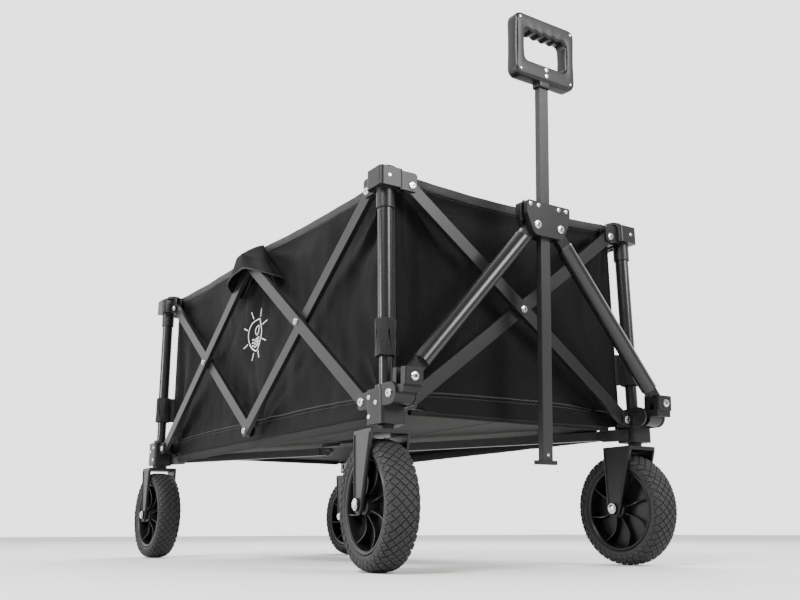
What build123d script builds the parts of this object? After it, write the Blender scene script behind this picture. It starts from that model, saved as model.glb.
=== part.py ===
"""Folding beach cart: crossing-bar frame on telescoping corner posts, fabric tub, casters, pull handle.

Millimetres, +X forward to the pull handle, +Y to the cart's left, +Z up.  The origin is the middle of
the open cart's overall box, on the ground.  Corners are fr, fl, rr and rl: front or rear, right or left.
All twelve bars are alike, so that every crossing turns by the same angle when the cart folds.
"""
from build123d import *
import os
from math import asin, atan2, cos, degrees, hypot, radians, sin, sqrt

# frame
PIN_SPAN = 415.0         # level distance between a bar's end pins
PIN_INSET = 35.0         # corner post's axis to the end pins beside it
PIN_TOP = 538.0          # height of the upper end pins
PIN_LOW = 226.0          # height of the lower end pins
FOLDED_SPAN = 75.0       # level distance between a bar's end pins with the cart folded
FIT = 0.05               # radial play of a pin or tube in its hole
GAP = 0.3                # play between faces that pass each other
# bars
BAR_WIDTH = 20.0
BAR_DEPTH = 8.0
BAR_WALL = 1.2
LAYER_PITCH = 9.0
PIN_R = 3.0
HEAD_R = 5.5
HEAD_T = 2.2
SIDE_LAYER_OUT = 2.0     # middle side layer, outward of the posts' axes
END_LAYER_OUT = 7.5      # middle of the two end layers, outward of the posts' axes
# posts
OUTER_R = 11.0
OUTER_WALL = 1.4
INNER_WALL = 1.2
OUTER_FOOT = 290.0       # lower end of the outer tube
OUTER_TOP = 550.0
INNER_TOP = 525.0
SLEEVE_R = 13.0
SLEEVE_FOOT = 502.0
# brackets
BLOCK_HALF = 20.0
TOP_BLOCK = (531.0, 560.0)
LOW_BLOCK = (192.0, 240.0)
COLLAR_TOP = 246.0
EAR_TIP = 9.0            # ear past its pin
TOP_EAR = (529.0, 558.0)
LOW_EAR = (215.0, 238.0)
CLEVIS_R = 9.0
EAR_T = 3.0
CAP_R = 15.0
CAP_T = 5.0
CAP_LIFT = 4.0           # rim fabric passes under the cap
CAP_INWARD = 8.0
# floor arms and hub
ARM_PIN_Z = 204.0
ARM_WIDTH = 12.0
ARM_HEIGHT = 14.0
ARM_WALL = 1.5
ARM_EYE_R = 8.0
ARM_EYE_WIDTH = 8.0
HUB_OUT = 71.6           # forward distance from the hub's middle to an arm's pin
HUB_T = 4.0
HUB_R = 45.0
HUB_FINGER = 20.0
# wheels and forks
WHEEL_R = 88.0
TYRE_WIDTH = 46.0
RIM_R = 66.0
RIM_WIDTH = 38.0
RIM_WALL = 4.0
WHEEL_HUB_R = 15.0
AXLE_R = 5.0
SPOKES = 8
FORK_GAP = 3.0           # between tyre and fork leg
FORK_T = 3.5
CROWN = (180.0, 186.0)
TRAIL = 27.0
CASTER_TURN = -8.0       # how far the right front caster stands turned
STEM_R = 7.0
STEM_TOP = 210.0
# pull handle
HANDLE_X = 52.0          # handle plane, forward of the front posts' axes
YOKE_AXIS = (35.5, 230.0)   # forward of the front posts' axes, and height
YOKE_R = 14.0
YOKE_HALF = 15.0
YOKE_EAR_R = 15.0
YOKE_BOX = (16.0, 263.0)    # half its depth, and its top
YOKE_PLAY = 9.5          # side play of the left yoke, which takes up the fold's closing error
LEG_PIN_Z = 251.0
LEG_R = 12.5
LEG_WALL = 1.5
LEG_TONGUE = 10.0
BRACKET_PIN = (23.0, 498.0)  # sideways from the middle, and height
BRACKET_Z = (482.0, 534.0)
BRACKET_HALF = 43.0
BRACKET_FOOT_HALF = 30.0
BRACKET_T = 8.0
TUBE_SIZE = (10.4, 18.0)
TUBE_WALL = 1.5
TUBE_Z = (152.0, 748.0)
END_CAP = (17.0, 34.0, 9.0)
GRIP_Z = (733.0, 838.0)
GRIP_WIDTH = 122.0
GRIP_DEPTH = 24.0
GRIP_BAR = (26.0, 18.0, 28.0)   # top bar, side bars and lower bar
HANDLE_LEAN = 3.0        # degrees forward of upright at rest
# fabric tub
TUB_WALL = 3.0
TUB_RIM = 562.0
TUB_END_OUT = -9.0       # end walls' outer face, from the posts' axes
TUB_SIDE_OUT = -20.3     # side walls' outer face, from the posts' axes

POST_X = PIN_SPAN + PIN_INSET
POST_Y = PIN_SPAN / 2 + PIN_INSET
RISE = PIN_TOP - PIN_LOW
HUB_FOOT = ARM_PIN_Z + ARM_EYE_R + 1     # hub plate's underside, just over the arms' eyes
TUB_FLOOR = HUB_FOOT + HUB_T + GAP
BAR_LENGTH = hypot(PIN_SPAN, RISE)
FOLD_ANGLE = degrees(asin(PIN_SPAN / BAR_LENGTH) - asin(FOLDED_SPAN / BAR_LENGTH))
SIGNS = {"fr": (1, -1), "fl": (1, 1), "rr": (-1, -1), "rl": (-1, 1)}
SIDES = {"right": -1, "left": 1}
SIDE_LAYERS = {
    "front_low": (1, POST_X - PIN_INSET, PIN_LOW, 0, PIN_TOP),
    "front_high": (2, POST_X - PIN_INSET, PIN_TOP, 0, PIN_LOW),
    "rear_low": (2, PIN_INSET - POST_X, PIN_LOW, 0, PIN_TOP),
    "rear_high": (3, PIN_INSET - POST_X, PIN_TOP, 0, PIN_LOW),
}
END_LAYERS = {"a": (1, -1), "b": (2, 1)}     # layer, side of the upper end
TOP_LAYER = {"fr": (2, 1), "fl": (2, 2), "rr": (3, 1), "rl": (3, 2)}   # side layer, end layer
LOW_LAYER = {"fr": (1, 2), "fl": (1, 1), "rr": (2, 2), "rl": (2, 1)}


def side_layer(layer):
    """Distance of a side layer's middle from the cart's middle plane."""
    return POST_Y + SIDE_LAYER_OUT + (2 - layer) * LAYER_PITCH


def end_layer(layer):
    """Distance of an end layer's middle from the cart's middle plane."""
    return POST_X + END_LAYER_OUT + (1.5 - layer) * LAYER_PITCH


def block(x, y, z):
    """Box between two limits on each axis, in any order."""
    size = [abs(b - a) for a, b in (x, y, z)]
    return Pos(*[(a + b) / 2 for a, b in (x, y, z)]) * Box(*size)


def rod(axis, at, span, radius):
    """Cylinder along an axis: at is any point on its line, span its limits along the axis."""
    turn = {"x": Rot(0, 90, 0), "y": Rot(-90, 0, 0), "z": Rot(0, 0, 0)}[axis]
    middle = list(at)
    middle["xyz".index(axis)] = (span[0] + span[1]) / 2
    return Pos(*middle) * turn * Cylinder(radius, abs(span[1] - span[0]))


def pin(axis, at, span, radius=PIN_R):
    """Hinge pin with a head past each end of its span."""
    low, high = sorted(span)
    shank = rod(axis, at, (low - HEAD_T, high + HEAD_T), radius)
    heads = [rod(axis, at, (a, b), HEAD_R) for a, b in ((low - HEAD_T, low), (high, high + HEAD_T))]
    return shank + heads[0] + heads[1]


def flat_bar():
    """One bar along X, its pins along Z: an oblong tube with pinched round ends."""
    shape = extrude(SlotCenterToCenter(BAR_LENGTH, BAR_WIDTH), BAR_DEPTH / 2, both=True)
    shape -= Box(BAR_LENGTH + 2 * BAR_WIDTH, BAR_WIDTH - 2 * BAR_WALL, BAR_DEPTH - 2 * BAR_WALL)
    for x in (-BAR_LENGTH / 2, 0, BAR_LENGTH / 2):
        shape -= Pos(x, 0, 0) * Cylinder(PIN_R + FIT, BAR_DEPTH + 2)
    return shape


def side_bars():
    """Eight side bars, each with the pins it carries at its crossing and at mid span."""
    nodes = {}
    half = BAR_DEPTH / 2 + GAP / 3
    for side, sign in SIDES.items():
        for name, (layer, x0, z0, x1, z1) in SIDE_LAYERS.items():
            middle = ((x0 + x1) / 2, sign * side_layer(layer), (z0 + z1) / 2)
            plane = Plane(origin=middle, x_dir=(x1 - x0, 0, z1 - z0), z_dir=(0, 1, 0))
            pieces = [plane * flat_bar()]
            if name.endswith("low"):
                span = sign * (side_layer(layer) + half), sign * (side_layer(layer + 1) - half)
                pieces.append(pin("y", middle, span))
            if name == "front_low":
                span = sign * (side_layer(1) + half), sign * (side_layer(2) - half)
                pieces.append(pin("y", (0, 0, PIN_TOP), span))
            if name == "front_high":
                span = sign * (side_layer(2) + half), sign * (side_layer(3) - half)
                pieces.append(pin("y", (0, 0, PIN_LOW), span))
            nodes[f"{side}_bar_{name}"] = pieces
    return nodes


def end_bars():
    """Front and rear pairs of crossing bars; bar a lies outside and carries the crossing pin."""
    nodes = {}
    half = BAR_DEPTH / 2 + GAP / 3
    reach = PIN_SPAN / 2
    for end, sign in (("front", 1), ("rear", -1)):
        for name, (layer, high_side) in END_LAYERS.items():
            middle = (sign * end_layer(layer), 0, (PIN_TOP + PIN_LOW) / 2)
            plane = Plane(origin=middle, x_dir=(0, high_side * 2 * reach, RISE), z_dir=(1, 0, 0))
            pieces = [plane * flat_bar()]
            if name == "a":
                pieces.append(pin("x", middle, (sign * (end_layer(1) + half), sign * (end_layer(2) - half))))
            nodes[f"{end}_bar_{name}"] = pieces
    return nodes


def ears(corner, level, layers, heights):
    """Two pairs of ears that hold a side bar and an end bar, and their pins."""
    sx, sy = SIGNS[corner]
    side, end = sy * side_layer(layers[0]), sx * end_layer(layers[1])
    px, py = sx * (POST_X - PIN_INSET), sy * (POST_Y - PIN_INSET)
    inner, outer = BAR_DEPTH / 2 + GAP, BAR_DEPTH / 2 + GAP + EAR_T
    root = BLOCK_HALF - 6
    bx, by = sx * (POST_X - root), sy * (POST_Y - root)
    tip_x, tip_y = px - sx * EAR_TIP, py - sy * EAR_TIP
    plates = []
    for s in (-1, 1):
        y = (side + s * inner, side + s * outer)
        ear = block((tip_x, bx), y, heights)
        plates.append(fillet(ear.edges().filter_by(Axis.Y).group_by(Axis.X)[0 if sx > 0 else -1], 5))
        x = (end + s * inner, end + s * outer)
        ear = block(x, (tip_y, by), heights)
        plates.append(fillet(ear.edges().filter_by(Axis.X).group_by(Axis.Y)[0 if sy > 0 else -1], 5))
    holes = [rod("y", (px, 0, level), (side - 20, side + 20), PIN_R + FIT),
             rod("x", (0, py, level), (end - 20, end + 20), PIN_R + FIT)]
    reach = outer + GAP / 3
    pins = [pin("y", (px, 0, level), (side - reach, side + reach)),
            pin("x", (0, py, level), (end - reach, end + reach))]
    return plates, holes, pins


def top_bracket(corner):
    """Top corner moulding with its sleeve and ears, its four pins, and the cap on the rim."""
    sx, sy = SIGNS[corner]
    x, y = sx * POST_X, sy * POST_Y
    shape = block((x - BLOCK_HALF, x + BLOCK_HALF), (y - BLOCK_HALF, y + BLOCK_HALF), TOP_BLOCK)
    shape = fillet(shape.edges().filter_by(Axis.Z), 6)
    shape += rod("z", (x, y, 0), (SLEEVE_FOOT, TOP_BLOCK[1]), SLEEVE_R)
    plates, holes, pins = ears(corner, PIN_TOP, TOP_LAYER[corner], TOP_EAR)
    for plate in plates:
        shape += plate
    shape -= rod("z", (x, y, 0), (SLEEVE_FOOT - 1, OUTER_TOP), OUTER_R + FIT)
    for hole in holes:
        shape -= hole
    cx, cy = x - sx * CAP_INWARD, y - sy * CAP_INWARD
    top = TOP_BLOCK[1] + CAP_LIFT
    cap = rod("z", (cx, cy, 0), (TOP_BLOCK[1], top), CAP_R / 3) + rod("z", (cx, cy, 0), (top, top + CAP_T), CAP_R)
    cap = fillet(cap.faces().sort_by(Axis.Z)[-1].edges(), 2)
    return [shape, cap] + pins


def arm_frame(corner):
    """Plane at a corner's floor-arm pin: X runs level along the arm to the hub, Z across it."""
    sx, sy = SIGNS[corner]
    origin = (sx * (POST_X - PIN_INSET), sy * (POST_Y - PIN_INSET), ARM_PIN_Z)
    along = Vector(-2 * sx, -sy, 0).normalized()
    return Plane(origin=origin, x_dir=along, z_dir=along.cross(Vector(0, 0, 1)) * -1)


def low_bracket(corner):
    """Lower corner moulding: socket for the inner tube, bar ears, floor-arm clevis, handle ears."""
    sx, sy = SIGNS[corner]
    x, y = sx * POST_X, sy * POST_Y
    shape = block((x - BLOCK_HALF, x + BLOCK_HALF), (y - BLOCK_HALF, y + BLOCK_HALF), LOW_BLOCK)
    shape = fillet(shape.edges().filter_by(Axis.Z), 6)
    shape += rod("z", (x, y, 0), (LOW_BLOCK[0], COLLAR_TOP), OUTER_R + 4)
    plates, holes, pins = ears(corner, PIN_LOW, LOW_LAYER[corner], LOW_EAR)
    inner, outer = ARM_EYE_WIDTH / 2 + GAP, ARM_EYE_WIDTH / 2 + GAP + EAR_T
    reach = hypot(PIN_INSET, PIN_INSET) - 5
    for s in (-1, 1):
        cheek = block((-reach, 0), (-CLEVIS_R, CLEVIS_R), (s * inner, s * outer))
        cheek += rod("z", (0, 0, 0), (s * inner, s * outer), CLEVIS_R)
        plates.append(arm_frame(corner) * cheek)
    holes.append(arm_frame(corner) * Cylinder(PIN_R + FIT, 4 * outer))
    pins.append(arm_frame(corner) * pin("z", (0, 0, 0), (-outer - GAP / 3, outer + GAP / 3)))
    if sx > 0:
        extra = yoke_ears(sy)
        plates += extra[0]
        holes += extra[1]
        pins += extra[2]
    for plate in plates:
        shape += plate
    shape -= rod("z", (x, y, 0), (STEM_TOP + 2, COLLAR_TOP + 1), OUTER_R - OUTER_WALL - FIT)
    if sx > 0:
        shape -= rod("z", (x, y, 0), (LOW_BLOCK[0] - 1, STEM_TOP + 0.5), STEM_R + FIT)
    for hole in holes:
        shape -= hole
    return [shape] + pins


def yoke_ears(sy):
    """Ears, hole and pin that carry one handle yoke; the left pair stands wider apart."""
    x, z = POST_X + YOKE_AXIS[0], YOKE_AXIS[1]
    play = YOKE_PLAY if sy > 0 else GAP
    inboard, outboard = POST_Y - YOKE_HALF - play, POST_Y + YOKE_HALF + GAP
    root = POST_X + BLOCK_HALF - 3
    plates = []
    for near, far in ((inboard - EAR_T, inboard), (outboard, outboard + EAR_T)):
        y = (sy * near, sy * far)
        ear = block((root, x), y, (z - YOKE_EAR_R, z + YOKE_EAR_R)) + rod("y", (x, 0, z), y, YOKE_EAR_R)
        plates.append(ear)
    web = (sy * (inboard - EAR_T), sy * (outboard + EAR_T))
    plates.append(block((root, root + 3), web, (z - YOKE_EAR_R, z + YOKE_EAR_R)))
    hole = rod("y", (x, 0, z), (sy * (POST_Y - 40), sy * (POST_Y + 40)), PIN_R + FIT)
    span = (sy * (inboard - EAR_T - GAP / 3), sy * (outboard + EAR_T + GAP / 3))
    return plates, [hole], [pin("y", (x, 0, z), span)]


def outer_tube(corner):
    sx, sy = SIGNS[corner]
    x, y = sx * POST_X, sy * POST_Y
    span = (OUTER_FOOT, OUTER_TOP)
    return [rod("z", (x, y, 0), span, OUTER_R) - rod("z", (x, y, 0), span, OUTER_R - OUTER_WALL)]


def inner_tube(corner):
    sx, sy = SIGNS[corner]
    x, y = sx * POST_X, sy * POST_Y
    radius = OUTER_R - OUTER_WALL - 2 * FIT
    span = (STEM_TOP + 2, INNER_TOP)
    return [rod("z", (x, y, 0), span, radius) - rod("z", (x, y, 0), span, radius - INNER_WALL)]


def floor_arm(corner):
    """Oblong tube from a corner's clevis to the hub, with a narrow eye at each end."""
    length = sqrt(1.25) * (PIN_SPAN - HUB_OUT)
    neck = 2.2 * ARM_EYE_R
    eye = ARM_EYE_WIDTH
    shape = block((neck, length - neck), (-ARM_HEIGHT / 2, ARM_HEIGHT / 2), (-ARM_WIDTH / 2, ARM_WIDTH / 2))
    shape -= block((neck + 3, length - neck - 3), (ARM_WALL - ARM_HEIGHT / 2, ARM_HEIGHT / 2 - ARM_WALL),
                   (ARM_WALL - ARM_WIDTH / 2, ARM_WIDTH / 2 - ARM_WALL))
    for x, far in ((0, 2 * neck), (length, length - 2 * neck)):
        thick = (-eye / 2, eye / 2)
        if x > 0 and corner == "fr":
            thick = (GAP / 3, eye / 2)
        end = (neck + 3) if x == 0 else (length - neck - 3)
        tongue = block((x, end), (1 - ARM_EYE_R, ARM_EYE_R - 1), thick) + rod("z", (x, 0, 0), thick, ARM_EYE_R)
        shape += tongue
        shape -= Pos(x, 0, 0) * Cylinder(PIN_R + FIT, 2 * eye)
    return [arm_frame(corner) * shape]


def floor_hub():
    """Cross-shaped plate over the four arm ends, hung from the right front arm by a lug and pin."""
    low = HUB_FOOT
    plate = rod("z", (0, 0, 0), (low, low + HUB_T), HUB_R)
    length = sqrt(1.25) * (PIN_SPAN - HUB_OUT)
    for corner in SIGNS:
        y = (low - ARM_PIN_Z, low - ARM_PIN_Z + HUB_T)
        finger = block((length - ARM_EYE_R, length + ARM_EYE_R * 6), y, (-HUB_FINGER / 2, HUB_FINGER / 2))
        upward = arm_frame(corner) * finger
        plate += upward if upward.center().Z > ARM_PIN_Z else upward.mirror(Plane.XY.offset(ARM_PIN_Z))
    lug_side = (-ARM_EYE_WIDTH / 2, -GAP / 3)
    lug = rod("z", (length, 0, 0), lug_side, ARM_EYE_R - 0.5)
    lug = arm_frame("fr") * (lug - Pos(length, 0, 0) * Cylinder(PIN_R + FIT, 30))
    stalk = arm_frame("fr") * block((length - 5, length + 5), (4, low - ARM_PIN_Z + 1), lug_side)
    if stalk.center().Z < ARM_PIN_Z:
        stalk = stalk.mirror(Plane.XY.offset(ARM_PIN_Z))
    bolt = arm_frame("fr") * pin("z", (length, 0, 0), (-ARM_EYE_WIDTH / 2 - GAP / 3, ARM_EYE_WIDTH / 2 + GAP / 3))
    return [plate + lug + stalk, bolt]


def wheel(corner):
    """Tyre and rim of one wheel, centred on its axle at the origin, axle along Y."""
    half = TYRE_WIDTH / 2
    with BuildPart() as tyre:
        with BuildSketch(Plane.XY):
            with Locations(((RIM_R + WHEEL_R) / 2, 0)):
                RectangleRounded(WHEEL_R - RIM_R, TYRE_WIDTH, 7)
        revolve(axis=Axis.Y)
    rim = rod("y", (0, 0, 0), (-RIM_WIDTH / 2, RIM_WIDTH / 2), RIM_R - FIT)
    rim -= rod("y", (0, 0, 0), (-half, half), RIM_R - RIM_WALL)
    rim += rod("y", (0, 0, 0), (-2.5, 2.5), RIM_R - RIM_WALL + 1) + rod("y", (0, 0, 0), (-half, half), WHEEL_HUB_R)
    spoke = block((WHEEL_HUB_R - 3, RIM_R - RIM_WALL + 1), (-RIM_WIDTH / 3, RIM_WIDTH / 3), (-2, 2))
    for turn in range(SPOKES):
        rim += Rot(0, turn * 360 / SPOKES, 0) * spoke
    rim -= rod("y", (0, 0, 0), (-half - 1, half + 1), AXLE_R + FIT)
    return tyre.part, rim


def fork(offset, stem):
    """Fork and axle bolt with the stem's axis at the origin; the wheel hangs at x = offset."""
    inner = TYRE_WIDTH / 2 + FORK_GAP
    with BuildSketch(Plane.XZ) as outline:
        with BuildSketch(Plane.XZ):
            with Locations((offset, WHEEL_R)):
                Circle(AXLE_R + 8)
            with Locations(((offset / 2), (CROWN[0] + CROWN[1]) / 2)):
                Rectangle(44 + abs(offset) / 2, CROWN[1] - CROWN[0])
            make_hull()
    leg = extrude(outline.sketch, FORK_T / 2, both=True)
    shape = block((offset / 2 - 22 - abs(offset) / 4, offset / 2 + 22 + abs(offset) / 4),
                  (-inner - FORK_T, inner + FORK_T), CROWN)
    for s in (-1, 1):
        shape += Pos(0, s * (inner + FORK_T / 2), 0) * leg
        shape += rod("y", (offset, 0, WHEEL_R), (s * (TYRE_WIDTH / 2 + GAP), s * inner), AXLE_R + 4)
    shape -= rod("y", (offset, 0, WHEEL_R), (-inner - 10, inner + 10), AXLE_R + FIT)
    if stem:
        shape += rod("z", (0, 0, 0), (CROWN[1], LOW_BLOCK[0] - GAP), STEM_R + 4)
        shape += rod("z", (0, 0, 0), (CROWN[1], STEM_TOP), STEM_R)
    else:
        shape += rod("z", (0, 0, 0), (CROWN[1], LOW_BLOCK[0]), STEM_R + 8)
    outer = inner + FORK_T + GAP / 3
    axle = rod("y", (offset, 0, WHEEL_R), (-outer - 4, outer + 4), AXLE_R)
    for s in (-1, 1):
        axle += rod("y", (offset, 0, WHEEL_R), (s * outer, s * (outer + 4)), AXLE_R + 3.5)
    return shape, axle


def running_gear():
    """Fixed rear forks, swivelling front forks, and the four wheels."""
    nodes = {}
    for corner, (sx, sy) in SIGNS.items():
        turn = Rot(0, 0, CASTER_TURN if corner == "fr" else 0)
        place = Pos(sx * POST_X, sy * POST_Y, 0) * turn
        offset = -TRAIL if sx > 0 else 0
        name = ("caster_fork_" if sx > 0 else "rear_fork_") + ("right" if sy < 0 else "left")
        nodes[name] = [place * piece for piece in fork(offset, sx > 0)]
        tyre, rim = wheel(corner)
        nodes[f"tyre_{corner}"] = [place * Pos(offset, 0, WHEEL_R) * tyre]
        nodes[f"rim_{corner}"] = [place * Pos(offset, 0, WHEEL_R) * rim]
    return nodes


def yoke(sy):
    """Yoke that tips in the lower bracket's ears and holds a leg's foot in the slot of its box."""
    x, z = POST_X + YOKE_AXIS[0], YOKE_AXIS[1]
    y = sy * POST_Y
    plane = POST_X + HANDLE_X
    half, top = YOKE_BOX
    slot = LEG_TONGUE / 2 + GAP
    shape = rod("y", (x, 0, z), (y - YOKE_HALF, y + YOKE_HALF), YOKE_R)
    box = block((plane - half, plane + half), (y - YOKE_HALF, y + YOKE_HALF), (z + YOKE_R - 4, top))
    shape += fillet(box.edges().filter_by(Axis.Z), 3)
    shape += block((x, plane + half - 4), (y - YOKE_HALF, y + YOKE_HALF), (z, z + YOKE_R - 2))
    shape -= block((plane - slot, plane + slot), (y - half - 1, y + half + 1), (LEG_PIN_Z - 10.5, top + 1))
    shape -= rod("y", (x, 0, z), (y - 30, y + 30), PIN_R + FIT)
    shape -= rod("x", (0, y, LEG_PIN_Z), (plane - 30, plane + 30), PIN_R + FIT)
    return [shape, pin("x", (0, y, LEG_PIN_Z), (plane - half - GAP / 3, plane + half + GAP / 3))]


def leg(sy):
    """Round tube with a flat tongue at each end, from a yoke up to the handle bracket."""
    foot = Vector(POST_X + HANDLE_X, sy * POST_Y, LEG_PIN_Z)
    head = Vector(POST_X + HANDLE_X, sy * BRACKET_PIN[0], BRACKET_PIN[1])
    length = (head - foot).length
    neck = 30.0
    shape = rod("x", (0, 0, 0), (neck, length - neck), LEG_R)
    shape -= rod("x", (0, 0, 0), (neck + 12, length - neck - 12), LEG_R - LEG_WALL)
    half = LEG_TONGUE / 2
    for x, end in ((0, neck + 4), (length, length - neck - 4)):
        shape += block((x, end), (-10, 10), (-half, half)) + rod("z", (x, 0, 0), (-half, half), 10)
        shape -= Pos(x, 0, 0) * Cylinder(PIN_R + FIT, 40)
    return [Plane(origin=foot, x_dir=head - foot, z_dir=(1, 0, 0)) * shape]


def handle_bracket():
    """Two shield-shaped plates round the leg heads, and the rails that guide the handle tube."""
    plane = POST_X + HANDLE_X
    half = LEG_TONGUE / 2 + GAP
    low, high = BRACKET_Z
    with BuildSketch(Plane.YZ) as outline:
        with BuildSketch(Plane.YZ):
            for s in (-1, 1):
                with Locations((s * (BRACKET_HALF - 4), high - 4), (s * (BRACKET_HALF - 4), high - 20)):
                    Circle(4)
                with Locations((s * (BRACKET_FOOT_HALF - 8), low + 10)):
                    Circle(10)
            make_hull()
    plates = {}
    for name, start, sign in (("front", plane + half, 1), ("rear", plane - half, -1)):
        plate = Pos(start + sign * BRACKET_T / 2, 0, 0) * extrude(outline.sketch, BRACKET_T / 2, both=True)
        for s in (-1, 1):
            plate -= rod("x", (0, s * BRACKET_PIN[0], BRACKET_PIN[1]), (plane - 30, plane + 30), PIN_R + FIT)
        plates[name] = [plate]
    rail = TUBE_SIZE[1] / 2 + GAP
    for s in (-1, 1):
        plates["rear"][0] += block((plane - half - 1, plane + half), (s * rail, s * (rail + 4)), (high - 16, high - 2))
        plates["rear"].append(pin("x", (0, s * BRACKET_PIN[0], BRACKET_PIN[1]),
                                  (plane - half - BRACKET_T - 0.1, plane + half + BRACKET_T + 0.1)))
    return {f"handle_bracket_{name}": pieces for name, pieces in plates.items()}


def handle_tube():
    """Oblong sliding tube with its end cap, and the loop grip at its top."""
    plane = POST_X + HANDLE_X
    wide, deep = TUBE_SIZE[1] / 2, TUBE_SIZE[0] / 2
    tube = block((plane - deep, plane + deep), (-wide, wide), TUBE_Z)
    tube -= block((plane - deep + TUBE_WALL, plane + deep - TUBE_WALL), (TUBE_WALL - wide, wide - TUBE_WALL), TUBE_Z)
    cap = block((plane - END_CAP[0] / 2, plane + END_CAP[0] / 2), (-END_CAP[1] / 2, END_CAP[1] / 2),
                (TUBE_Z[0] - END_CAP[2] + 3, TUBE_Z[0]))
    cap = fillet(cap.edges().filter_by(Axis.Z), 4)
    return {"handle_tube": [tube], "handle_end_cap": [cap]}


def grip():
    """Loop grip: rounded frame with a finger window, its lower bar socketed on the handle tube."""
    plane = POST_X + HANDLE_X
    low, high = GRIP_Z
    top, side, base = GRIP_BAR
    window = (low + base, high - top)
    middle = (low + high) / 2
    outline = Plane(origin=(plane, 0, middle), x_dir=(0, 1, 0), z_dir=(1, 0, 0))
    shape = outline * extrude(RectangleRounded(GRIP_WIDTH, high - low, 10), GRIP_DEPTH / 2, both=True)
    hole = RectangleRounded(GRIP_WIDTH - 2 * side, window[1] - window[0], 9)
    hole_at = Plane(origin=(plane, 0, sum(window) / 2), x_dir=(0, 1, 0), z_dir=(1, 0, 0))
    shape -= hole_at * extrude(hole, GRIP_DEPTH, both=True)
    rims = [e for e in shape.edges() if abs(abs(e.center().X - plane) - GRIP_DEPTH / 2) < 0.01]
    shape = fillet(rims, 5)
    shape -= block((plane - TUBE_SIZE[0] / 2 - FIT, plane + TUBE_SIZE[0] / 2 + FIT),
                   (-TUBE_SIZE[1] / 2 - FIT, TUBE_SIZE[1] / 2 + FIT), (low - 1, TUBE_Z[1]))
    return {"handle_grip": [shape]}


def tub():
    """Plain fabric panels between the posts: four walls and the floor."""
    x1, y1 = POST_X + TUB_END_OUT, POST_Y + TUB_SIDE_OUT
    x0, y0 = x1 - TUB_WALL, y1 - TUB_WALL
    floor_top = TUB_FLOOR + TUB_WALL
    walls = (TUB_FLOOR, TUB_RIM)
    nodes = {"tub_floor": [block((GAP - x0, x0 - GAP), (GAP - y0, y0 - GAP), (TUB_FLOOR, floor_top))]}
    for name, s in (("right", -1), ("left", 1)):
        nodes[f"tub_wall_{name}"] = [block((GAP - x0, x0 - GAP), (s * y0, s * y1), walls)]
    for name, s in (("front", 1), ("rear", -1)):
        nodes[f"tub_wall_{name}"] = [block((s * x0, s * x1), (-y1, y1), walls)]
    return nodes


def lean(nodes):
    """Tip the whole pull handle forward about the yokes' axis."""
    at = (POST_X + YOKE_AXIS[0], 0, YOKE_AXIS[1])
    turn = Pos(*at) * Rot(0, HANDLE_LEAN, 0) * Pos(*[-v for v in at])
    return {name: [turn * piece for piece in pieces] for name, pieces in nodes.items()}


def build():
    """Every node's solids, in the cart's own frame with its middle at the origin."""
    nodes = {}
    for corner in SIGNS:
        nodes[f"top_bracket_{corner}"] = top_bracket(corner)
        nodes[f"outer_tube_{corner}"] = outer_tube(corner)
        nodes[f"lower_bracket_{corner}"] = low_bracket(corner)
        nodes[f"inner_tube_{corner}"] = inner_tube(corner)
        nodes[f"floor_arm_{corner}"] = floor_arm(corner)
    nodes["floor_hub"] = floor_hub()
    nodes.update(side_bars())
    nodes.update(end_bars())
    nodes.update(running_gear())
    handle = {"yoke_right": yoke(-1), "yoke_left": yoke(1), "handle_leg_right": leg(-1), "handle_leg_left": leg(1)}
    handle.update(handle_bracket())
    handle.update(handle_tube())
    handle.update(grip())
    nodes.update(lean(handle))
    nodes.update(tub())
    return nodes


NODES = build()
OVERALL = Compound([piece for pieces in NODES.values() for piece in pieces]).bounding_box()
SHIFT = (-OVERALL.center().X, -OVERALL.center().Y, -OVERALL.min.Z)

os.makedirs("parts", exist_ok=True)
for node_name, node_pieces in NODES.items():
    solids = [Pos(*SHIFT) * solid for piece in node_pieces for solid in piece.solids()]
    export_step(Compound(solids) if len(solids) > 1 else solids[0], f"parts/{node_name}.step")
print("nodes", len(NODES), "overall", [round(v, 1) for v in OVERALL.size], "shift", [round(v, 3) for v in SHIFT])
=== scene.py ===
"""Looks of the folding beach cart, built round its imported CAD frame.

Lengths are millimetres in the cart's own layout, posts at x +-450 and y +-242.5, unless said.
at() turns them into the row frame's metres.
"""

from math import atan2, cos, exp, hypot, pi, radians, sin

import bpy
from mathutils import Matrix, Vector, noise


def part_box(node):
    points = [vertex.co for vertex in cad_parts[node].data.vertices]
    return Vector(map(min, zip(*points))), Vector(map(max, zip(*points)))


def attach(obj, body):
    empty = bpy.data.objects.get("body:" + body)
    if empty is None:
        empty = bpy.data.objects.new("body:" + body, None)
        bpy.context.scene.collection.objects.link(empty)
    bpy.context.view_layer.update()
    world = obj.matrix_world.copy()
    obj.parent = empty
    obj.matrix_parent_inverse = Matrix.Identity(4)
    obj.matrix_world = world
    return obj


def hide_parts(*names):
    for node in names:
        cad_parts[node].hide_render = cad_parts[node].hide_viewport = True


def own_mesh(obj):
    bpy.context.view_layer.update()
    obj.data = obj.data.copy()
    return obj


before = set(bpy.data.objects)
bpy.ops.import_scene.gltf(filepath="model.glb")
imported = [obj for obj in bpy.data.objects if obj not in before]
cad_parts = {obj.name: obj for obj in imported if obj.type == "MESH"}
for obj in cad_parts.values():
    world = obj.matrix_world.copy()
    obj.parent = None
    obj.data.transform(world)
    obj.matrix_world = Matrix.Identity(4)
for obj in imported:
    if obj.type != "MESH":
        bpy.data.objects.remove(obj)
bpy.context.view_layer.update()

POST_X, POST_Y = 450.0, 242.5
CORNERS = {"fr": (1, -1), "fl": (1, 1), "rr": (-1, -1), "rl": (-1, 1)}
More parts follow.
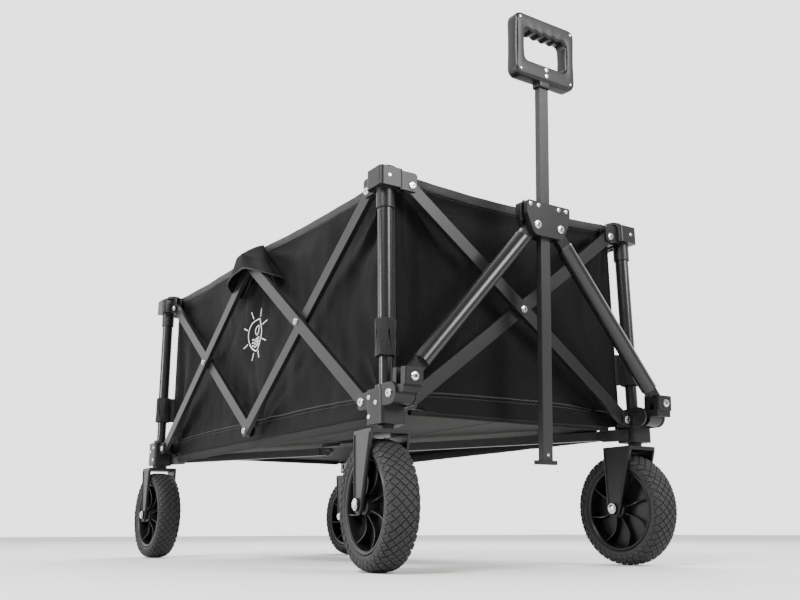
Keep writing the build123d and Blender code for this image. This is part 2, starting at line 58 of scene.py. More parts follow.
PIN_X, PIN_Y, PIN_TOP, PIN_LOW = 415.0, 207.5, 538.0, 226.0
# planes of the bars, counted inward, and which plane each corner's brackets hold: (side, end)
SIDE_LAYER = {1: 253.5, 2: 244.5, 3: 235.5}
END_LAYER = {1: 462.0, 2: 453.0}
TOP_LAYER = {"fr": (2, 1), "fl": (2, 2), "rr": (3, 1), "rl": (3, 2)}
LOW_LAYER = {"fr": (1, 2), "fl": (1, 1), "rr": (2, 2), "rl": (2, 1)}
SIDE_Y, END_X = 220.7, 439.5           # middle of the tub's walls
BAND_INSET = 3.5                       # from a wall's middle to its floor edge band's
SKIRT_FOOT, END_FOOT = 206.0, 214.4    # middle of the floor's edge, at the sides and at the ends
WHEEL_R, TRAIL, CASTER_TURN = 88.0, 27.0, radians(-8)
LEAN, LEAN_X, LEAN_Z = radians(3), 485.5, 230.0   # the handle's lean, and the pivot that it leans about
HANDLE_X = 502.0                       # middle of the handle before it leans
CROSS_Z = (PIN_TOP + PIN_LOW) / 2      # where crossing bars are pinned

front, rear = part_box("outer_tube_fr"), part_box("outer_tube_rr")
# from the layout's middle to the row frame's, in mm: the mean of the four ends, in metres, times 1000
SHIFT_X = 250 * (front[0].x + front[1].x + rear[0].x + rear[1].x)


def at(x, y, z):
    """A point of the layout, in the row frame's metres."""
    return Vector(((x + SHIFT_X) / 1000, y / 1000, z / 1000))


def leaned(x, y, z):
    """A point of the upright handle, tipped forward as the handle stands."""
    dx, dz = x - LEAN_X, z - LEAN_Z
    return (LEAN_X + dx * cos(LEAN) + dz * sin(LEAN), y, LEAN_Z - dx * sin(LEAN) + dz * cos(LEAN))


# materials
def material(name, color, rough, grain=900.0, bump=0.15, metal=0.0, spread=0.12, sheen=0.0,
             edge=0.0, weave=0.0, depth=0.0003, patch=9.0, shine=0.5):
    """Principled finish with mottled colour, uneven roughness and grain or weave relief."""
    mat = bpy.data.materials.new(name)
    mat.use_nodes = True
    nodes, links = mat.node_tree.nodes, mat.node_tree.links
    shader = nodes["Principled BSDF"]
    shader.inputs["Metallic"].default_value = metal
    shader.inputs["Specular IOR Level"].default_value = shine
    shader.inputs["Sheen Weight"].default_value = sheen
    shader.inputs["Sheen Roughness"].default_value = 0.5
    place = nodes.new("ShaderNodeTexCoord")
    mottle = nodes.new("ShaderNodeTexNoise")
    mottle.inputs["Scale"].default_value = patch
    mottle.inputs["Detail"].default_value = 4
    links.new(place.outputs["Object"], mottle.inputs["Vector"])
    ramp = nodes.new("ShaderNodeValToRGB")
    ramp.color_ramp.elements[0].position = 0.3
    ramp.color_ramp.elements[1].position = 0.7
    for element, share in zip(ramp.color_ramp.elements, (1 - spread, 1 + spread)):
        element.color = [min(1, c * share) for c in color] + [1]
    links.new(mottle.outputs["Fac"], ramp.inputs["Fac"])
    links.new(ramp.outputs["Color"], shader.inputs["Base Color"])
    fine = nodes.new("ShaderNodeTexNoise")
    fine.inputs["Scale"].default_value = grain
    fine.inputs["Detail"].default_value = 3
    links.new(place.outputs["Object"], fine.inputs["Vector"])
    spot = nodes.new("ShaderNodeMapRange")
    spot.inputs["To Min"].default_value = rough * 0.86
    spot.inputs["To Max"].default_value = min(1, rough * 1.14)
    links.new(fine.outputs["Fac"], spot.inputs["Value"])
    links.new(spot.outputs["Result"], shader.inputs["Roughness"])
    relief = nodes.new("ShaderNodeBump")
    relief.inputs["Strength"].default_value = bump
    relief.inputs["Distance"].default_value = depth
    height = fine.outputs["Fac"]
    if weave:
        threads = []
        for axis in ("X", "Z"):
            wave = nodes.new("ShaderNodeTexWave")
            wave.bands_direction = axis
            wave.inputs["Scale"].default_value = weave
            wave.inputs["Distortion"].default_value = 0.6
            links.new(place.outputs["Object"], wave.inputs["Vector"])
            threads.append(wave.outputs["Fac"])
        cross = nodes.new("ShaderNodeMath")
        cross.operation = "MULTIPLY"
        links.new(threads[0], cross.inputs[0])
        links.new(threads[1], cross.inputs[1])
        total = nodes.new("ShaderNodeMath")
        total.operation = "ADD"
        links.new(cross.outputs["Value"], total.inputs[0])
        links.new(height, total.inputs[1])
        height = total.outputs["Value"]
    links.new(height, relief.inputs["Height"])
    if edge:
        rounded = nodes.new("ShaderNodeBevel")
        rounded.samples = 4
        rounded.inputs["Radius"].default_value = edge
        links.new(rounded.outputs["Normal"], relief.inputs["Normal"])
    links.new(relief.outputs["Normal"], shader.inputs["Normal"])
    return mat


PLASTIC = material("moulded_plastic", (0.007, 0.007, 0.0074), 0.38, edge=0.0009, grain=1500,
                   shine=0.38)
TUBE = material("powder_coat_tube", (0.009, 0.009, 0.0095), 0.27, grain=2200, bump=0.08)
BAR = material("powder_coat_bar", (0.008, 0.008, 0.0084), 0.36, grain=2200, bump=0.08,
               edge=0.0012, shine=0.34)
ARM = material("floor_arm_coat", (0.012, 0.012, 0.0125), 0.42, edge=0.0008)
INNER = material("inner_tube_coat", (0.009, 0.009, 0.0095), 0.25, grain=2200, bump=0.05)
HANDLE = material("handle_coat", (0.014, 0.014, 0.0148), 0.34, grain=2200, bump=0.06, edge=0.0016)
RUBBER = material("tyre_rubber", (0.017, 0.017, 0.0175), 0.66, grain=700, bump=0.35,
                  depth=0.0005, shine=0.4)
RIM = material("rim_plastic", (0.004, 0.004, 0.0042), 0.36, grain=1400, shine=0.4)
FABRIC = material("tub_fabric", (0.0020, 0.0020, 0.0022), 0.60, grain=420, bump=0.5, sheen=0.012,
                  weave=260, depth=0.0004, spread=0.22, patch=5, shine=0.10)
MAT = material("floor_fabric", (0.0045, 0.0045, 0.0048), 0.75, grain=380, bump=0.5, sheen=0.02,
               weave=220, depth=0.0005, spread=0.2, shine=0.25)
WEBBING = material("rim_webbing", (0.0065, 0.0065, 0.007), 0.55, grain=500, bump=0.6, weave=330,
                   depth=0.0006, shine=0.4)
STITCH = material("seam_thread", (0.022, 0.022, 0.023), 0.6, grain=900, bump=0.5)
HOOK = material("hook_and_loop", (0.006, 0.006, 0.0065), 0.8, grain=330, bump=0.9, sheen=0.08,
                depth=0.0016, shine=0.3)
ZINC = material("zinc_screw", (0.78, 0.78, 0.77), 0.24, metal=1.0, grain=1800, bump=0.1,
                spread=0.06)
PRINT = material("print_white", (0.75, 0.75, 0.74), 0.6, grain=600, bump=0.3)

# first match wins; the empty start takes the rest
NODE_FINISH = (
    (("outer_tube", "handle_leg"), TUBE), (("inner_tube",), INNER),
    (("right_bar", "left_bar", "front_bar", "rear_bar"), BAR),
    (("floor_arm",), ARM), (("handle_tube",), HANDLE), (("tyre",), RUBBER), (("rim",), RIM),
    (("tub_floor",), MAT), (("tub_",), FABRIC), (("",), PLASTIC))
for name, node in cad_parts.items():
    for starts, finish in NODE_FINISH:
        if name.startswith(starts):
            node.data.materials.clear()
            node.data.materials.append(finish)
            break


# mesh makers
def piece(name, make, finish, body, sharp=40):
    """The mesh gathered in a Build, riding on a CAD body."""
    mesh = bpy.data.meshes.new(name)
    mesh.from_pydata([at(*p) for p in make.points], [], make.faces)
    mesh.validate()
    mesh.materials.append(finish)
    mesh.polygons.foreach_set("use_smooth", [True] * len(mesh.polygons))
    mesh.set_sharp_from_angle(angle=radians(sharp))
    thing = bpy.data.objects.new(name, mesh)
    bpy.context.scene.collection.objects.link(thing)
    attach(thing, body)
    return thing


class Build:
    """Points and faces of several closed shapes gathered into one mesh."""

    def __init__(self):
        self.points, self.faces = [], []

    def grid(self, rows, wrap_rows=False, wrap_columns=False):
        """Quads between rows of points; either way round can close on itself."""
        base, wide = len(self.points), len(rows[0])
        for row in rows:
            self.points += row
        for i in range(len(rows) - (0 if wrap_rows else 1)):
            for j in range(wide - (0 if wrap_columns else 1)):
                a, b = i, (i + 1) % len(rows)
                c, d = j, (j + 1) % wide
                self.faces.append([base + a * wide + c, base + a * wide + d,
                                   base + b * wide + d, base + b * wide + c])
        return base

    def sweep(self, path, section, up=(0, 0, 1), closed=False):
        """A closed section, points (sideways, upward), carried along a path and capped."""
        rows, count = [], len(path)
        for i, p in enumerate(path):
            before = path[(i - 1) % count] if closed or i else path[0]
            after = path[(i + 1) % count] if closed or i < count - 1 else path[-1]
            along = (Vector(after) - Vector(before)).normalized()
            side = along.cross(Vector(up)).normalized()
            lift = side.cross(along)
            rows.append([tuple(Vector(p) + side * a + lift * b) for a, b in section])
        base = self.grid(rows, closed, True)
        if not closed:
            wide = len(section)
            self.faces.append([base + j for j in reversed(range(wide))])
            self.faces.append([base + (count - 1) * wide + j for j in range(wide)])

    def lathe(self, profile, centre, axis, segments, shape):
        """A profile of (radius, along) turned about an axis; shape(step, angle) scales the radius."""
        axis = Vector(axis).normalized()
        side = axis.orthogonal().normalized()
        other = axis.cross(side)
        rows = []
        for k, (radius, along) in enumerate(profile):
            row = []
            for i in range(segments):
                turn = 2 * pi * i / segments
                out = (side * cos(turn) + other * sin(turn)) * (radius * shape(k, turn))
                row.append(tuple(Vector(centre) + axis * along + out))
            rows.append(row)
        self.grid(rows, False, True)


def circle(radius, count, flat=1.0):
    """Section of a cord or wire, flattened to a share of its height."""
    turns = [2 * pi * i / count for i in range(count)]
    return [(radius * cos(turn), flat * radius * sin(turn)) for turn in turns]


def evenly(reach, steps):
    """Places from -reach to reach."""
    return [reach * (2 * i / steps - 1) for i in range(steps + 1)]


def slab(thick, tall, count=3):
    """Section of a tape with rounded edges."""
    r = thick / 2
    turns = [pi * i / count for i in range(count + 1)]
    top = [(r * cos(turn), tall / 2 - r + r * sin(turn)) for turn in turns]
    return top + [(-a, -b) for a, b in top]


def soft(thing, thickness):
    """Gives a one-layer sheet its cloth thickness."""
    wall = thing.modifiers.new("thickness", "SOLIDIFY")
    wall.thickness, wall.offset = thickness / 1000, 0
    return thing


# fabric tub
def fade(distance, width):
    """0 to 1, smoothly, over a width."""
    t = max(0.0, min(1.0, distance / width))
    return t * t * (3 - 2 * t)


def creases(u, z, pulls, seed):
    """How far cloth stands off its plane: folds that fan out of the pulled points, plus soft dents."""
    out = 0.0
    for n, (pu, pz, size) in enumerate(pulls):
        r, turn = hypot(u - pu, z - pz), atan2(z - pz, u - pu)
        out += size * exp(-(r / 190) ** 1.4) * fade(r, 40) * sin(11 * turn + 1.7 * n + seed)
        out += 0.5 * size * exp(-(r / 120) ** 1.4) * fade(r, 30) * sin(19 * turn + 2.3 * n + seed)
    out += 6.5 * noise.noise(Vector((u / 140, z / 110, seed)))
    out += 3.2 * noise.noise(Vector((u / 38, z / 150, seed + 9)))
    out += 0.9 * noise.noise(Vector((u / 20, z / 24, seed + 17)))
    return out


FOLDS_FROM = 212     # below this height the cloth is held flat
DEEPEST = 14         # furthest that a fold goes inward


def side_rim(x):
    """Height of a side wall's top edge."""
    t = min(1.0, abs(x) / 430)
    return 563 + 5 * (1 - t) - 5 * sin(pi * t) + 1.2 * noise.noise(Vector((x / 60, 3, 0)))


def end_rim(y):
    """Height of an end wall's top edge."""
    t = min(1.0, abs(y) / 214)
    return 563 - 7 * cos(t * pi / 2) + 1.2 * noise.noise(Vector((y / 50, 7, 0)))


def side_surface(sign, x, z):
    """Distance of a side wall from the cart's middle plane."""
    room = fade(439 - abs(x), 60) * fade(side_rim(x) - z, 45) * fade(z - FOLDS_FROM, 30)
    pulls = ((-425, 545, 5), (425, 545, 5), (0, 560, 4.5), (-415, 232, 4), (415, 232, 4), (0, 232, 3))
    out = creases(x, z, pulls, 3 + sign) - 3.5
    return SIDE_Y + room * max(-DEEPEST, min(4.5, out))


def end_surface(sign, y, z):
    """Distance of an end wall from the cart's middle plane."""
    room = fade(219 - abs(y), 50) * fade(end_rim(y) - z, 45) * fade(z - FOLDS_FROM, 30)
    pulls = ((-205, 545, 5), (205, 545, 5), (-205, 232, 4), (205, 232, 4))
    out = creases(y, z, pulls, 11 + sign) - 4
    return END_X + room * max(-DEEPEST, min(5.0, out))


def hinge_hood(name, sign, body):
    """The cloth hood over a side's middle top pin, with its hem."""
    rows = []
    for i in range(41):
        across = i / 20 - 1
        row = []
        for j in range(25):
            down = j / 24
            half = 6 + 82 * down ** 1.3
            proud = 46 * min(1.0, down * 2.1) ** 0.8 * (1 - abs(across) ** (3 + 2 * down)) ** 0.75
            dent = 1.8 * noise.noise(Vector((across * 2.2, down * 2, 20 + sign)))
            z = 573 - down * (56 + 26 * across ** 2) + 1.5 * dent
            row.append((across * half, sign * (223.6 + proud + dent * down), z))
        rows.append(row)
    make = Build()
    make.grid(rows)
    hood = soft(piece(f"{name}_hinge_hood", make, FABRIC, body, sharp=80), 1.3)
    make = Build()
    make.sweep([row[-1] for row in rows], circle(1.5, 6), up=(0, 1, 0))
    hem = piece(f"{name}_hood_hem", make, WEBBING, body)
    for thing in (hood, hem):
        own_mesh(thing)


def badge(on, body):
    """A generic sun over waves in a ring of rays, printed on the cloth."""
    make = Build()
    middle_x, middle_z = -26, 408

    def stroke(line, size):
        make.sweep([on(x, z, 0.95) for x, z in line], circle(size, 6, 0.5), up=(0, -1, 0))

    def ring_of(radius, lift, count):
        turns = [2 * pi * i / count for i in range(count + 1)]
        return [(middle_x + radius * cos(turn), middle_z + lift + radius * sin(turn)) for turn in turns]

    stroke(ring_of(30, 0, 48), 1.1)
    stroke(ring_of(9, 9, 24), 1.0)
    for k in range(3):
        stroke([(middle_x + 20 * (i / 12 - 1), middle_z - 8 - 6 * k + 2.2 * sin(i * pi / 4))
                for i in range(25)], 0.9)
    for k in range(8):
        turn = 2 * pi * k / 8 + pi / 8
        stroke([(middle_x + r * cos(turn), middle_z + r * sin(turn)) for r in (35, 42, 50)], 1.0)
    return piece("side_badge_print", make, PRINT, body)


def wall(name, sign, is_side, body):
    """One wall of the tub with what is sewn to it, riding on one body."""
    reach, columns = (439.2, 150) if is_side else (220.4, 84)
    levels = 56
    rim = side_rim if is_side else end_rim
    surface = side_surface if is_side else end_surface

    def on(u, z, off=0.0):
        d = sign * (surface(sign, u, z) + off)
        return (u, d, z) if is_side else (d, u, z)

    rows = []
    for u in evenly(reach, columns):
        foot = SKIRT_FOOT + (4 if is_side else 6) if abs(u) < reach - 50 else SKIRT_FOOT + 14
        rows.append([on(u, foot + (rim(u) - foot) * j / levels) for j in range(levels + 1)])
    make = Build()
    make.grid(rows)
    cloth = soft(piece(f"cloth_{name[9:]}", make, FABRIC, body, sharp=80), 1.4)

    make = Build()
    path = evenly(reach - 8, 90)
    make.sweep([on(u, rim(u) - 4.5) for u in path], slab(4.2, 15))
    binding = piece(f"{name}_rim_binding", make, WEBBING, body)

    make = Build()
    for drop in (9.0, 13.5):
        make.sweep([on(u, rim(u) - drop, 1.0 if drop > 12 else 2.2) for u in path], circle(0.45, 5))
    seam_end = reach - 22
    for drop, size in ((0, 1.25), (5.5, 0.5)):
        line = [on(u, 247 - 7 * (u / seam_end) ** 4 - drop + 0.7 * sin(u * 0.9), 1.0)
                for u in evenly(seam_end, 120)]
        make.sweep(line, circle(size, 6, 0.8))
    seams = piece(f"{name}_seams", make, STITCH, body)

    make = Build()
    band_end = reach - (40 if is_side else 26)
    line = []
    for u in evenly(band_end, 60):
        if is_side:
            lift = noise.noise(Vector((u / 40, sign, 5)))
            line.append((u, sign * (SIDE_Y - BAND_INSET), SKIRT_FOOT + lift))
        else:
            lift = 0.4 * noise.noise(Vector((u / 40, sign, 6)))
            line.append((sign * (END_X - BAND_INSET), u, END_FOOT + lift))
    make.sweep(line, slab(9, 17 if is_side else 9.4, 5))
    base = piece(f"{name}_floor_edge", make, MAT, body, sharp=60)
    together = [cloth, binding, seams, base]

    if is_side:
        hinge_hood(name, sign, body)
    if name == "tub_wall_right":
        together.append(badge(on, body))
    for thing in together:
        if is_side:
            at(END_X, 0, 0)
            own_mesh(thing)
        else:
            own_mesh(thing)
    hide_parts(name)


wall("tub_wall_right", -1, True, "top_fr")
wall("tub_wall_left", 1, True, "top_fl")
wall("tub_wall_front", 1, False, "top_fr")
wall("tub_wall_rear", -1, False, "top_rr")

for corner, (sx, sy) in CORNERS.items():
    # padded floor, one quarter on each floor arm
    rows = []
    for i in range(37):
        row = []
        for j in range(21):
            u, v = i / 36, j / 20
            edge = min(fade(u, 0.05), fade(1 - u, 0.05), fade(v, 0.08), fade(1 - v, 0.08))   # 0 at the hems
            quilt = 1.1 * edge * (0.6 + 0.4 * noise.noise(Vector((u * 4, v * 3, sx * 2 + sy))))
            row.append((sx * (0.05 + 435 * u), sy * (0.05 + 214.5 * v), 218.8 + quilt))
        rows.append(row)
    make = Build()
    make.grid(rows)
    quarter = soft(piece(f"floor_panel_{corner}", make, MAT, f"floor_arm_{corner}",
                         sharp=80), 2.0)
    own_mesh(quarter)
    if corner == "fr":
        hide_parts("tub_floor")

    # rim fabric over the corner block, under the round cap. Radius 0 and 1 stand for its outline,
    # with 0 a little inside it.
    cx, cy = sx * (POST_X - 8), sy * (POST_Y - 8)
    inward = atan2(-sy, -sx)
    rows = []
    for radius, level in ((5.7, 561.2), (5.7, 562.9), (0, 562.9), (1, 562.9), (1, 561.9), (1, 561.0),
                          (0, 561.0)):
        row = []
        for i in range(48):
            turn = 2 * pi * i / 48
            if radius > 1:
                r = radius
            else:
                r = 22.5 + 7 * max(0, cos(turn - inward)) ** 2 - (1.2 if radius == 0 else 0)
            row.append((cx + r * cos(turn), cy + r * sin(turn), level))
        rows.append(row)
    make = Build()
    make.grid(rows, True, True)
    piece(f"rim_tab_{corner}", make, WEBBING, f"top_{corner}")

    # corner binding and hook-and-loop strap round the post
    make = Build()
    line = [(sx * 438.6, sy * 219.8, 214 + 346 * i / 40) for i in range(41)]
    make.sweep(line, circle(2.0, 8), up=(0, 1, 0))
    piece(f"corner_binding_{corner}", make, WEBBING, f"top_{corner}")
    px, py = sx * POST_X, sy * POST_Y
    start = atan2(-sy, -sx * 0.2)
    line = [(sx * 437.5, sy * 218.0, 312), (sx * 440, sy * 223, 312.4)]
    for i in range(41):
        turn = start + sx * sy * (-0.3 + i / 40 * 2 * pi * 1.12)
        radius = 12.9 + 2.0 * i / 40
        line.append((px + radius * cos(turn), py + radius * sin(turn), 312.5 + 0.8 * sin(i * 0.8)))
    make = Build()
    make.sweep(line, slab(1.3, 52, 2))
    strap = piece(f"post_strap_{corner}", make, HOOK, f"top_{corner}")


# wheels; a point of PROFILE is the tyre's (radius, width) under its tread
PROFILE = [(66.2, -18.8), (68.5, -21.6), (70.5, -22.2), (72.5, -21.6), (76, -22.3), (79.5, -21.7),
           (82.8, -19), (84.8, -13.5), (85.5, -7), (85.7, 0)]
PROFILE += [(r, -y) for r, y in reversed(PROFILE[:-1])]
CROWN_AT = len(PROFILE) // 2


def tread_point(s, height):
    """Radius and width of a point s mm from the crown along the tyre's outside, raised by height."""
    step, i, left = (1 if s >= 0 else -1), CROWN_AT, abs(s)
    while True:
        a, b = PROFILE[i], PROFILE[i + step]
        length = hypot(b[0] - a[0], b[1] - a[1])
        if left <= length or not 1 < i + step < len(PROFILE) - 2:
            break
        left, i = left - length, i + step
    t = left / length
    r, y = a[0] + (b[0] - a[0]) * t, a[1] + (b[1] - a[1]) * t
    nr, ny = step * (b[1] - a[1]) / length, -step * (b[0] - a[0]) / length
    return r + nr * height, y + ny * height


def tread_blocks(make, on_wheel):
    """Nine rows of diamond blocks round the tyre, staggered, with the outer rows smaller and lower."""
    around, pitch, half = 40, 6.7, 5.9
    for k in range(-4, 5):
        outer = abs(k) == 4
        for i in range(around):
            middle = 2 * pi * (i + 0.5 * (k % 2)) / around
            base = len(make.points)
            for height, share in ((-0.6, 1.0), (1.9, 0.94), (2.25, 0.8), (2.25, 0.52), (1.75, 0.44)):
                for da, ds in ((1, 0), (0, 1), (-1, 0), (0, -1)):
                    r, y = tread_point(k * pitch + ds * half * share * (0.8 if outer else 1),
                                       height * (0.7 if outer else 1))
                    make.points.append(on_wheel(middle + da * half * share / 86, r, y))
            for ring in range(4):
                for c in range(4):
                    d = (c + 1) % 4
                    make.faces.append([base + ring * 4 + c, base + ring * 4 + d,
                                       base + ring * 4 + 4 + d, base + ring * 4 + 4 + c])
            make.faces.append([base + 16 + c for c in range(4)])
            make.faces.append([base + c for c in reversed(range(4))])


def rim_dish(make, on_wheel):
    """The wheel's rim, web, boss and eight curved spokes on both sides."""
    ring = [(66.0, -18.6), (66.0, 18.6), (64.6, 20.2), (62.6, 20.2), (60.6, 18.4), (59.2, 12),
            (60.4, 3), (60.4, -3), (59.2, -12), (60.6, -18.4), (62.6, -20.2), (64.6, -20.2)]
    web = [(60.8, -0.4), (40, -1.8), (15.5, -5.0), (15.5, 1.0), (40, 1.4), (60.8, 1.6)]
    boss = [(5.1, -22.6), (11.5, -22.6), (13.6, -20.5), (15.6, -8), (16.2, 0), (15.6, 8),
            (13.6, 20.5), (11.5, 22.6), (5.1, 22.6)]
    for outline, count in ((ring, 96), (web, 96), (boss, 40)):
        turns = [2 * pi * i / count for i in range(count)]
        make.grid([[on_wheel(turn, r, y) for r, y in outline] for turn in turns], True, True)
    for k in range(8):
        angle = 2 * pi * k / 8 + 0.2
        for side in (-1, 1):
            rows = []
            for step in range(9):
                r = 13 + 48 * step / 8
                bend = 0.10 * sin(pi * step / 8)
                tall = 17 - 7 * sin(pi * step / 8)
                w = 1.1 / r
                rows.append([on_wheel(angle + bend + w * share, r, y) for share, y in (
                    (-1, 0), (-0.8, side * tall), (0.8, side * tall), (1, 0))])
            base = make.grid(rows, False, True)
            make.faces += [[base + c for c in range(4)], [base + 32 + c for c in reversed(range(4))]]


def wheel(corner):
    """A corner's tyre, rim and fork edges; gives the hub's middle, its axle and the fork's body."""
    sx, sy = CORNERS[corner]
    turn = CASTER_TURN if corner == "fr" else 0
    offset = -TRAIL if sx > 0 else 0
    hub = Vector((sx * POST_X + offset * cos(turn), sy * POST_Y + offset * sin(turn), WHEEL_R))
    axle = Vector((-sin(turn), cos(turn), 0))
    ahead = Vector((cos(turn), sin(turn), 0))

    def on_wheel(angle, r, y):
        return tuple(hub + axle * y + (ahead * cos(angle) + Vector((0, 0, 1)) * sin(angle)) * r)

    make = Build()
    turns = [2 * pi * i / 120 for i in range(120)]
    make.grid([[on_wheel(angle, r, y) for r, y in PROFILE] for angle in turns], True, True)
    tread_blocks(make, on_wheel)
    tyre = piece(f"tyre_tread_{corner}", make, RUBBER, f"wheel_{corner}", sharp=32)
    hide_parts(f"tyre_{corner}")

    make = Build()
    rim_dish(make, on_wheel)
    rim = piece(f"rim_dish_{corner}", make, RIM, f"wheel_{corner}", sharp=35)
    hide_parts(f"rim_{corner}")

    # raised edges on the fork legs
    body = ("caster_right" if sy < 0 else "caster_left") if sx > 0 else f"lower_{corner}"
    pivot = Vector((sx * POST_X, sy * POST_Y, 0))
    mid, reach = offset / 2, 22 + abs(offset) / 4
    make = Build()
    for side in (-1, 1):
        line = [(mid + reach - 3, 181), (offset + 11 + (mid + reach - 14 - offset) * 0.45, 132)]
        under = [radians(10 - 20 * k) for k in range(11)]
        line += [(offset + 10.6 * cos(a), WHEEL_R + 10.6 * sin(a)) for a in under]
        line += [(offset - 11 + (mid - reach + 14 - offset) * 0.45, 132), (mid - reach + 3, 181)]
        path = [tuple(pivot + ahead * x + axle * side * 29.7 + Vector((0, 0, z))) for x, z in line]
        make.sweep(path, circle(1.5, 8, 0.9), up=tuple(axle))
    piece(f"fork_ribs_{corner}", make, PLASTIC, body)
    return hub, axle, body


screws = {}


def screw(body, centre, normal, radius=6.0, height=2.8, hexagon=False):
    """A pan head with a recess, or a hexagon on its washer, gathered with its body's other screws."""
    make = screws.setdefault(body, Build())
    if hexagon:
        profile = [(radius * 1.25, 0), (radius * 1.25, 0.9), (radius * 1.02, 0.9), (radius, height),
                   (radius * 0.86, height + 0.5), (0.01, height + 0.5)]

        def shape(k, turn):
            return 1.0 if k < 2 else 0.93 + 0.07 * cos(6 * turn)
    else:
        profile = [(radius, 0), (radius, height * 0.45), (radius * 0.86, height * 0.84),
                   (radius * 0.5, height), (radius * 0.42, height), (radius * 0.36, height * 0.45), (0.01, height * 0.45)]

        def shape(k, turn):
            return 0.78 + 0.22 * cos(4 * turn) if k in (4, 5) else 1.0
    make.lathe(profile, centre, normal, 24, shape)


for corner in CORNERS:
    hub, axle, body = wheel(corner)
    for side in (-1, 1):
        screw(body, hub + axle * side * 33.4, axle * side, 6.4, 2.4, hexagon=True)

EAR = 7.4        # from a bar's middle plane to the pin head outside its ear
for corner, (sx, sy) in CORNERS.items():
    for level, layers, body in ((PIN_TOP, TOP_LAYER, "top"), (PIN_LOW, LOW_LAYER, "lower")):
        side, end = layers[corner]
        screw(f"{body}_{corner}", (sx * PIN_X, sy * (SIDE_LAYER[side] + EAR), level), (0, sy, 0))
        screw(f"{body}_{corner}", (sx * (END_LAYER[end] + EAR), sy * PIN_Y, level), (sx, 0, 0))
    for x, z in ((438, 229.5), (455, 221), (438, 203)):
        screw(f"lower_{corner}", (sx * x, sy * 262.4, z), (0, sy, 0), 3.3, 1.6)
    if sx < 0:
        for y, z in ((231, 229), (231, 205)):
            screw(f"lower_{corner}", (sx * 469.9, sy * y, z), (sx, 0, 0), 3.3, 1.6)
    screw(f"top_{corner}", (sx * 469.9, sy * 247, 546), (sx, 0, 0), 3.0, 1.4)
    if sx > 0:
        screw(f"lower_{corner}", (LEAN_X, sy * 260.9, LEAN_Z), (0, sy, 0))
for side, sy in (("right", -1), ("left", 1)):
    for body, x, level, layer in (
            (f"{side}_front_low", PIN_X / 2, CROSS_Z, 1), (f"{side}_front_low", 0, PIN_TOP, 1),
            (f"{side}_rear_low", -PIN_X / 2, CROSS_Z, 2), (f"{side}_front_high", 0, PIN_LOW, 2)):
        screw(body, (x, sy * (SIDE_LAYER[layer] + 4.0), level), (0, sy, 0), 5.8, 2.7)
    tip = Vector(leaned(1, 0, 0)) - Vector(leaned(0, 0, 0))
    screw(f"yoke_{side}", leaned(HANDLE_X + 16.1, sy * POST_Y, 251), tip)
for body, x in (("front_a", 1), ("rear_a", -1)):
    screw(body, (x * (END_LAYER[1] + 4.0), 0, CROSS_Z), (x, 0, 0), 5.8, 2.7)
for y in (-23, 23):
    screw("handle_bracket", leaned(HANDLE_X + 13.3, y, 498), tip, 6.4, 2.9)
for y in (-37, -21, 19.5, 35):
    screw("handle_bracket", leaned(HANDLE_X + 13.3, y, 528), tip, 3.3, 1.6)
for z in (743, 753):
    screw("handle", leaned(HANDLE_X + 12.0, 0, z), tip, 3.6, 1.5)
for y, z in ((-52.5, 829), (52.5, 829), (-51.5, 743), (51.5, 743)):
    screw("handle", leaned(HANDLE_X + 11.9, y, z), tip, 2.0, 0.9)
screw("handle", leaned(HANDLE_X + 5.2, 0, 160), tip, 2.4, 1.0)
for body, make in screws.items():
    piece(f"screws_{body}", make, ZINC, body, sharp=35)


# grip
def round_box(wide, tall, radius, middle, waves=0.0):
    """Rounded rectangle, the same count of points whatever its size; waves dent its top side."""
    line = []
    for q, (cx, cz) in enumerate(((1, 1), (-1, 1), (-1, -1), (1, -1))):
        x, z = cx * (wide / 2 - radius), cz * (tall / 2 - radius)
        for i in range(9):
            a = pi / 2 * (q + i / 8)
            line.append((x + radius * cos(a), middle + z + radius * sin(a)))
        nx, nz = ((-1, 1), (-1, -1), (1, -1), (1, 1))[q]
        x2, z2 = nx * (wide / 2 - radius), nz * (tall / 2 - radius)
        ends = line[-1], (x2 + radius * cos(pi / 2 * (q + 1)), middle + z2 + radius * sin(pi / 2 * (q + 1)))
        for i in range(1, 32):
            t = i / 32
            p = [a + (b - a) * t for a, b in zip(*ends)]
            if waves and q == 0:
                p[1] -= waves * (0.5 - 0.5 * cos(2 * pi * 4 * t)) * (0.4 + 0.6 * sin(pi * t) ** 0.5)
            line.append(tuple(p))
    return line


def ring(make, inner, outer, deep, corner, place):
    """A closed band between two outlines, with rounded edges; place(out, y, z) puts its points."""
    rows = []
    for (ay, az), (by, bz) in zip(inner, outer):
        length = hypot(by - ay, bz - az)
        uy, uz = (by - ay) / length, (bz - az) / length
        row = []
        for q, (s, d) in enumerate(((1, 1), (-1, 1), (-1, -1), (1, -1))):
            for i in range(6):
                a = pi / 2 * (q + i / 5)
                along = length / 2 + s * (length / 2 - corner) + corner * cos(a)
                out = d * (deep / 2 - corner) + corner * sin(a)
                row.append(place(out, ay + uy * along, az + uz * along))
        rows.append(row)
    make.grid(rows, True, True)


make = Build()
ring(make, round_box(86, 51, 9, 786.5, waves=3.0), round_box(122, 105, 12, 785.5), 24, 5.5,
     lambda out, y, z: leaned(HANDLE_X + out, y, z))
grip = piece("grip_loop", make, PLASTIC, "handle", sharp=50)
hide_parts("handle_grip")
make = Build()
ring(make, round_box(18.6, 11.2, 2, 0), round_box(26, 18, 5, 0), 12, 2.0,
     lambda out, y, x: leaned(HANDLE_X + x, y, 731 + out))
piece("grip_socket_collar", make, PLASTIC, "handle", sharp=50)

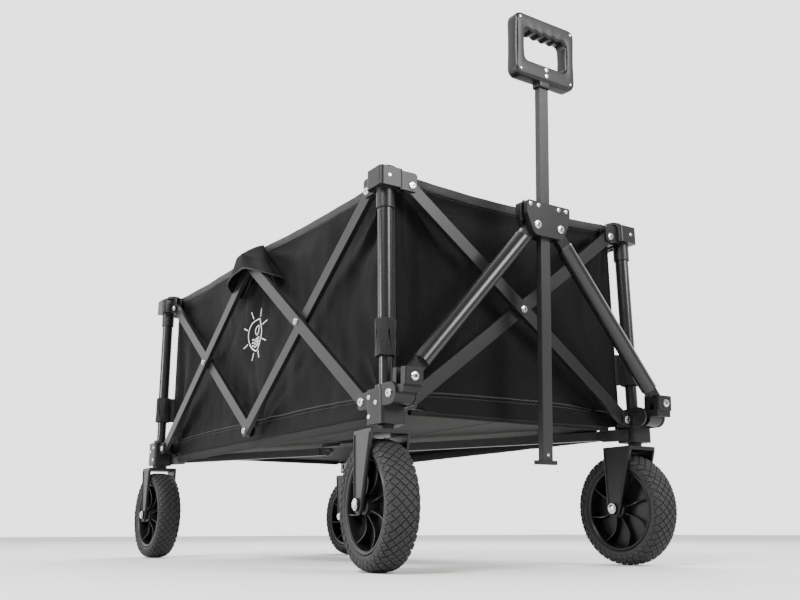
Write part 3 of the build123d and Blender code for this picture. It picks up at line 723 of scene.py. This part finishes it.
# sides of the handle bracket, closing the gap between its two plates
make = Build()
line = [(39.5, 504), (41.2, 512), (41.2, 528), (38.5, 531.6), (24, 532.2), (12.5, 532.2)]
for side in (-1, 1):
    path = [leaned(HANDLE_X, side * y, z) for y, z in line]
    make.sweep(path, slab(3.4, 10.3, 2), up=(0, 1, 0.2))
piece("handle_bracket_sides", make, PLASTIC, "handle_bracket", sharp=40)

# studio; the world is brightest towards the back left, where the camera looks
make = Build()
make.grid([[(x, y, -0.05) for y in (-9000, 9000)] for x in (-9000, 9000)])
mesh = bpy.data.meshes.new("studio_floor")
mesh.from_pydata([at(*p) for p in make.points], [], make.faces)
floor = bpy.data.objects.new("studio_floor", mesh)
bpy.context.scene.collection.objects.link(floor)
mesh.materials.append(material("studio_pale", (0.78, 0.77, 0.75), 0.9, grain=60, bump=0.02, spread=0.01))

world = bpy.data.worlds.new("studio")
bpy.context.scene.world = world
world.use_nodes = True
tree = world.node_tree
sky = tree.nodes["Background"]
sky.inputs["Color"].default_value = (1.0, 1.0, 1.0, 1)
way = tree.nodes.new("ShaderNodeTexCoord")
facing = tree.nodes.new("ShaderNodeVectorMath")
facing.operation = "DOT_PRODUCT"
facing.inputs[1].default_value = (-0.816, 0.522, 0.247)
strength = tree.nodes.new("ShaderNodeMapRange")
strength.inputs["From Min"].default_value, strength.inputs["From Max"].default_value = -0.1, 0.7
strength.inputs["To Min"].default_value, strength.inputs["To Max"].default_value = 0.28, 2.6
tree.links.new(way.outputs["Generated"], facing.inputs[0])
tree.links.new(facing.outputs["Value"], strength.inputs["Value"])
tree.links.new(strength.outputs["Result"], sky.inputs["Strength"])

for name, place, size, power in (("key", (1.2, -2.3, 2.4), 1.2, 150), ("fill", (2.8, 0.9, 1.7), 1.4, 80),
                                 ("back", (-1.8, 1.6, 2.4), 1.8, 70), ("low", (-0.6, -2.7, 0.8), 0.9, 40)):
    lamp = bpy.data.lights.new(name, "AREA")
    lamp.shape, lamp.size, lamp.energy = "DISK", size, power
    light = bpy.data.objects.new(name, lamp)
    light.location = place
    light.rotation_euler = (Vector((0, 0, 0.35)) - Vector(place)).to_track_quat("-Z", "Y").to_euler()
    bpy.context.scene.collection.objects.link(light)

view = bpy.data.cameras.new("photo_view")
view.sensor_width, view.lens = 36, 40.1
view.shift_x, view.shift_y = 0.0283, 0.0053
view.clip_end = 60
camera = bpy.data.objects.new("photo_view", view)
right, down = Vector((0.53864, 0.84253, -0.00200)), Vector((-0.20910, 0.13139, -0.96903))
ahead = right.cross(down)
turn = Matrix((right, -down, -ahead)).transposed().to_4x4()
camera.matrix_world = Matrix.Translation(at(1459.2, -902.0, 53.2)) @ turn
bpy.context.scene.collection.objects.link(camera)
bpy.context.scene.camera = camera
